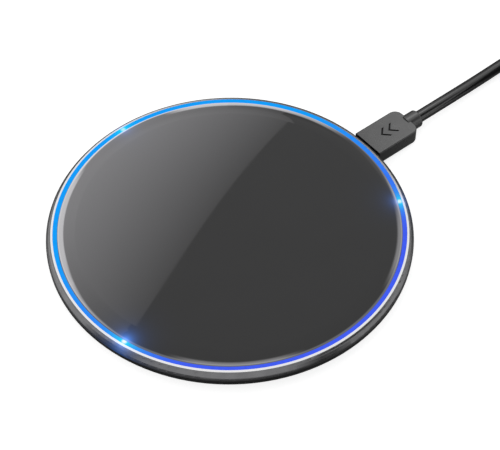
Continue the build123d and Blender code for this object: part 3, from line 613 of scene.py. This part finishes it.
def make_floor():
    """Pale floor with a fine grain. Most of its brightness is its own glow, so that it keeps its tone
    under the object. It is kept out of the object's reflections and bounced light, so it doesn't light
    the object from below, and it casts no shadow."""
    corners = [(-FLOOR_HALF, -FLOOR_HALF, 0), (FLOOR_HALF, -FLOOR_HALF, 0), (FLOOR_HALF, FLOOR_HALF, 0),
               (-FLOOR_HALF, FLOOR_HALF, 0)]
    floor = mesh_object("floor", corners, [(0, 1, 2, 3)], smooth=False)
    floor.data.materials.append(grained("pale_floor", (0.5, 0.5, 0.5), 0.9, 0.6 * MM, 2e-6, spread=0.01,
                                        Specular_IOR_Level=0.0, Emission_Color=(1, 1, 1, 1),
                                        Emission_Strength=FLOOR_GLOW))
    floor.visible_glossy = False
    floor.visible_diffuse = False
    floor.visible_shadow = False


# ---- lamps --------------------------------------------------------------------------------
LIGHT_DISTANCE = 0.6
MIRRORED_VIEW = Vector((-BACK.x, -BACK.y, BACK.z))     # where the flat glass sends the view
MIRRORED_UP = Vector((UP.x, UP.y, -UP.z))
OVERHEAD_CENTRE = PAD_CENTRE + MIRRORED_VIEW * LIGHT_DISTANCE
OVERHEAD_SIZE = (0.55, 0.57)
OVERHEAD_DROP = -0.01
OVERHEAD_COLOUR = (0.98, 0.965, 1.0)
# dark oval on the softbox that the flat of the glass mirrors
OVAL_CENTRE = (0.005, -0.018)
OVAL_REACH = (0.208, 0.2334)
# arcs of the bright border round the oval: from and to in degrees from the right, radiance, and how
# far out they begin, as parts of the oval
BORDER_ARCS = [(-14, 14, 3.6, 1.0), (14, 27, 4.4, 1.06), (27, 55, 0.4, 0.98), (55, 70, 5.5, 0.99),
               (70, 86, 8.0, 0.98), (86, 110, 8.0, 0.96), (110, 148, 11.5, 1.09), (148, 190, 9.2, 1.0),
               (190, 200, 8.5, 1.04), (200, 210, 6.5, 1.08), (210, 222, 3.3, 1.08), (249, 292, 3.7, 0.97)]
BORDER_SOFT = 8
BORDER_RISE = 0.08
# screen over the left of the oval: its slanted side is a shallow curve, x = a + b y + c y y + d y y y
SCREEN_SIDE = (-0.0167, 0.712, 1.27, 12.8)
SCREEN_SOFT = 0.0008
SCREEN_DIM, SCREEN_BRIGHT, SCREEN_FADE = 0.45, 3.2, 0.097
# The flat of the glass mirrors only this part of the softbox. Beyond it the screen runs straight on
# outwards for the ground edge, and shrinks in height until SQUEEZE_END times as far out: by SQUEEZE on
# average, by SQUEEZE_ABOVE more above and by as much less below.
FLAT_REACH = (0.104, 0.080)
SQUEEZE_END, SQUEEZE, SQUEEZE_ABOVE = 2.1, -0.24, -0.07
CABLE_LAMP_SIZE = (0.2, 0.3)
CABLE_LAMP_DIRECTION = Vector((-0.28, 0.4, 0.87))
CABLE_LAMP_RADIANCE = 1.35


def softbox(name, size, radiance, *pieces):
    """Rectangular lamp whose light, and its reflection, is kept to a few pieces."""
    data = bpy.data.lights.new(name, "AREA")
    data.shape, data.size, data.size_y = "RECTANGLE", *size
    data.energy = radiance * size[0] * size[1] * math.pi
    lamp = link(bpy.data.objects.new(name, data))
    lamp.visible_camera = False
    lit = bpy.data.collections.new(name + "_lights")
    for piece in pieces:
        lit.objects.link(piece)
    lamp.light_linking.receiver_collection = lit
    return lamp


def lamp_plane(tree):
    """Place on the overhead lamp, across and up from where the glass sends the view."""
    offset = add(tree, "ShaderNodeVectorMath", operation="SUBTRACT")
    offset.inputs[1].default_value = OVERHEAD_CENTRE
    tree.links.new(add(tree, "ShaderNodeNewGeometry").outputs["Position"], offset.inputs[0])
    place = offset.outputs["Vector"]
    return measure(tree, "DOT_PRODUCT", place, RIGHT), measure(tree, "DOT_PRODUCT", place, MIRRORED_UP)


def border_light(tree, x, y):
    """Radiance of the border at a place on the lamp."""
    wide = compute(tree, "DIVIDE", compute(tree, "SUBTRACT", x, OVAL_CENTRE[0]), OVAL_REACH[0])
    high = compute(tree, "DIVIDE", compute(tree, "SUBTRACT", y, OVAL_CENTRE[1]), OVAL_REACH[1])
    angle = compute(tree, "ARCTAN2", high, wide)
    out = length_of(tree, wide, high)
    terms = []
    for start, end, radiance, begins in BORDER_ARCS:
        turned = compute(tree, "SUBTRACT", angle, math.radians((start + end) / 2))
        away = compute(tree, "ARCCOSINE", compute(tree, "COSINE", turned))
        half = (end - start) / 2
        arc = ramped(tree, away, math.radians(half + BORDER_SOFT), math.radians(half - BORDER_SOFT))
        strength = ramped(tree, out, begins, begins + BORDER_RISE, 0.0, radiance)
        terms.append(compute(tree, "MULTIPLY", arc, strength))
    return chain(tree, "ADD", terms)


def screen_light(tree, x, y):
    """Radiance of the slanted screen at a place on the lamp."""
    across, upwards = FLAT_REACH
    beyond = length_of(tree, compute(tree, "DIVIDE", x, across), compute(tree, "DIVIDE", y, upwards))
    pull = compute(tree, "DIVIDE", 1.0, compute(tree, "MAXIMUM", beyond, 1.0))
    squeeze = compute(tree, "MULTIPLY_ADD", compute(tree, "SIGN", y), SQUEEZE_ABOVE, SQUEEZE)
    growing = ramped(tree, beyond, 1.0, SQUEEZE_END, shape="LINEAR")
    x = compute(tree, "MULTIPLY", x, pull)
    y = compute(tree, "MULTIPLY", compute(tree, "MULTIPLY", y, pull),
                compute(tree, "MULTIPLY_ADD", growing, squeeze, 1.0))
    side = SCREEN_SIDE[-1]
    for term in SCREEN_SIDE[-2::-1]:
        side = compute(tree, "MULTIPLY_ADD", side, y, term)
    inside = compute(tree, "SUBTRACT", side, x)
    return compute(tree, "MULTIPLY", ramped(tree, inside, 0.0, SCREEN_SOFT),
                   ramped(tree, inside, 0.0, SCREEN_FADE, SCREEN_DIM, SCREEN_BRIGHT, "LINEAR"))


def make_overhead():
    """Softbox over the pad, for the glass alone, with a pattern set for the main view: a dark
    oval for the flat glass, partly covered by a slanted screen, and a bright border of varying
    strength for the ground edge of the glass."""
    lamp = softbox("overhead", OVERHEAD_SIZE, 1.0, NODES["glass_panel"])
    away = RIGHT.cross(MIRRORED_UP)
    facing = 1 if away.dot(MIRRORED_VIEW) > 0 else -1
    rotation = Matrix((RIGHT * facing, MIRRORED_UP, away * facing)).transposed()
    place = OVERHEAD_CENTRE + MIRRORED_UP * OVERHEAD_DROP
    lamp.matrix_world = Matrix.Translation(place) @ rotation.to_4x4()
    lamp.data.use_nodes = True
    tree = lamp.data.node_tree
    x, y = lamp_plane(tree)
    emission = tree.nodes["Emission"]
    emission.inputs["Color"].default_value = (*OVERHEAD_COLOUR, 1)
    tree.links.new(compute(tree, "MAXIMUM", border_light(tree, x, y), screen_light(tree, x, y)),
                   emission.inputs["Strength"])


def make_cable_lamp():
    """Softbox along the cable, which draws the bright line along its upper side and lights the grips."""
    lamp = softbox("cable_lamp", CABLE_LAMP_SIZE, CABLE_LAMP_RADIANCE,
                   cable, NODES["plug_overmold"], NODES["usb_a_overmold"])
    lamp.location = LEAD_ROUTE[1] + CABLE_LAMP_DIRECTION * LIGHT_DISTANCE
    lamp.rotation_euler = (-CABLE_LAMP_DIRECTION).to_track_quat("-Z", "Y").to_euler()


# ---- surroundings -------------------------------------------------------------------------
AMBIENT, SKY = 0.14, 0.9           # radiance low down and high up
HORIZON = (8, 20)                  # degrees of elevation over which the first turns into the second
# left, right, low and high side of each patch, in degrees from the camera's azimuth and the horizon,
# then a panel's radiance or how much of the light a gap takes away
PANELS = [((-52, 36, -5, 40), 0.98), ((62, 122, -18, 30), 0.95), ((-140, -76, -16, 30), 1.2)]
GAPS = [((43, 52, -90, 45), 0.85), ((-72, -58, -90, 45), 0.85), ((150, 190, -90, 33), 0.8),
        ((-190, -172, -90, 30), 0.4)]
PATCH_SOFT = 6
# dark flag that draws the dark line along the cable and its collar: where it starts and is full, in
# degrees off its direction
FLAG_DIRECTION = (0.55, 0.4, 0.733)
FLAG_START, FLAG_FULL, FLAG_DARK = 23, 16, 0.03


def make_world():
    """White sky, dim at the horizon, with a soft panel in front of the object and one on each side,
    dark gaps between them and behind, and a dark flag. What the camera sees directly is plain white."""
    world = bpy.data.worlds.new("studio")
    bpy.context.scene.world = world
    world.use_nodes = True
    tree = world.node_tree
    direction = add(tree, "ShaderNodeTexCoord").outputs["Generated"]
    towards = measure(tree, "DOT_PRODUCT", direction, TOWARDS)
    sideways = measure(tree, "DOT_PRODUCT", direction, RIGHT)
    azimuth = compute(tree, "ARCTAN2", sideways, towards)
    elevation = compute(tree, "ARCSINE", separate(tree, direction)[2])

    def between(value, start, end):
        """1 between two angles in degrees, 0 well outside them."""
        start, end, soft = math.radians(start), math.radians(end), math.radians(PATCH_SOFT)
        return compute(tree, "MULTIPLY", ramped(tree, value, start - soft, start + soft),
                       ramped(tree, value, end + soft, end - soft))

    def patch(left, right, low, high):
        """1 inside a patch of the sky, 0 well outside it."""
        return compute(tree, "MULTIPLY", between(azimuth, left, right), between(elevation, low, high))

    light = ramped(tree, elevation, *[math.radians(a) for a in HORIZON], AMBIENT, SKY)
    for sides, radiance in PANELS:
        light = compute(tree, "MAXIMUM", light, compute(tree, "MULTIPLY", patch(*sides), radiance))
    for sides, depth in GAPS:
        kept = compute(tree, "MULTIPLY_ADD", patch(*sides), -depth, 1.0)
        light = compute(tree, "MULTIPLY", light, kept)
    near_flag = measure(tree, "DOT_PRODUCT", direction, FLAG_DIRECTION)
    start, full = math.cos(math.radians(FLAG_START)), math.cos(math.radians(FLAG_FULL))
    light = compute(tree, "MULTIPLY", light, ramped(tree, near_flag, start, full, 1.0, FLAG_DARK))
    seen = add(tree, "ShaderNodeLightPath").outputs["Is Camera Ray"]
    light = compute(tree, "MAXIMUM", light, seen)
    tree.links.new(light, tree.nodes["Background"].inputs["Strength"])
    tree.nodes["Background"].inputs["Color"].default_value = (1, 1, 1, 1)


make_floor()
make_world()
make_overhead()
make_cable_lamp()
bpy.context.scene.view_settings.view_transform = "Standard"

bpy.context.view_layer.update()
